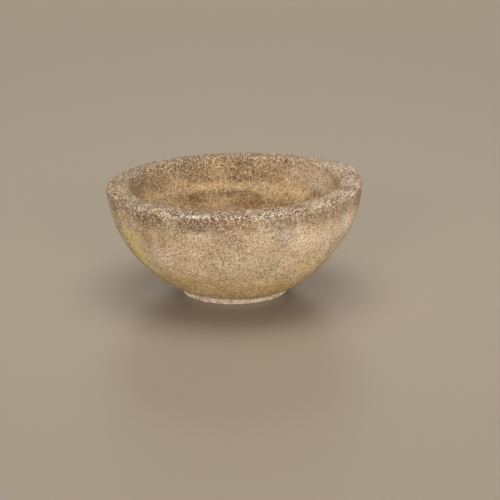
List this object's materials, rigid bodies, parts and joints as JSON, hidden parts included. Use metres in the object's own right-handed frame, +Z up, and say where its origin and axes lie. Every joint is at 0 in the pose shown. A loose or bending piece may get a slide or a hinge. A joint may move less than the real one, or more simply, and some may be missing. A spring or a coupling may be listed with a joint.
{
  "type": "stone planter",
  "caption": "Round thick-walled cast-stone bowl planter with a wide granular rim, on a low pale foot, with a drain hole through its base.",
  "frame": {"origin": "centre of the foot's underside, on the floor", "axes": "+Z up along the bowl's axis; +X towards the side where the rim stands highest; the picture looks along +Y"},
  "size_m": [0.5189, 0.5191, 0.2322],
  "materials": {
    "bowl_stone": "weathered cast stone with coarse exposed aggregate, grey-brown above and ochre below",
    "foot_stone": "pale limy cast stone with worn edges",
    "mortar": "rough lime mortar",
    "steel": "mild steel with a brown skin of rust"
  },
  "bodies": {
    "root": {"bowl": "bowl_stone", "foot": "foot_stone", "mortar_bed": "mortar", "foot_pins": "steel"}
  },
  "joints": []
}
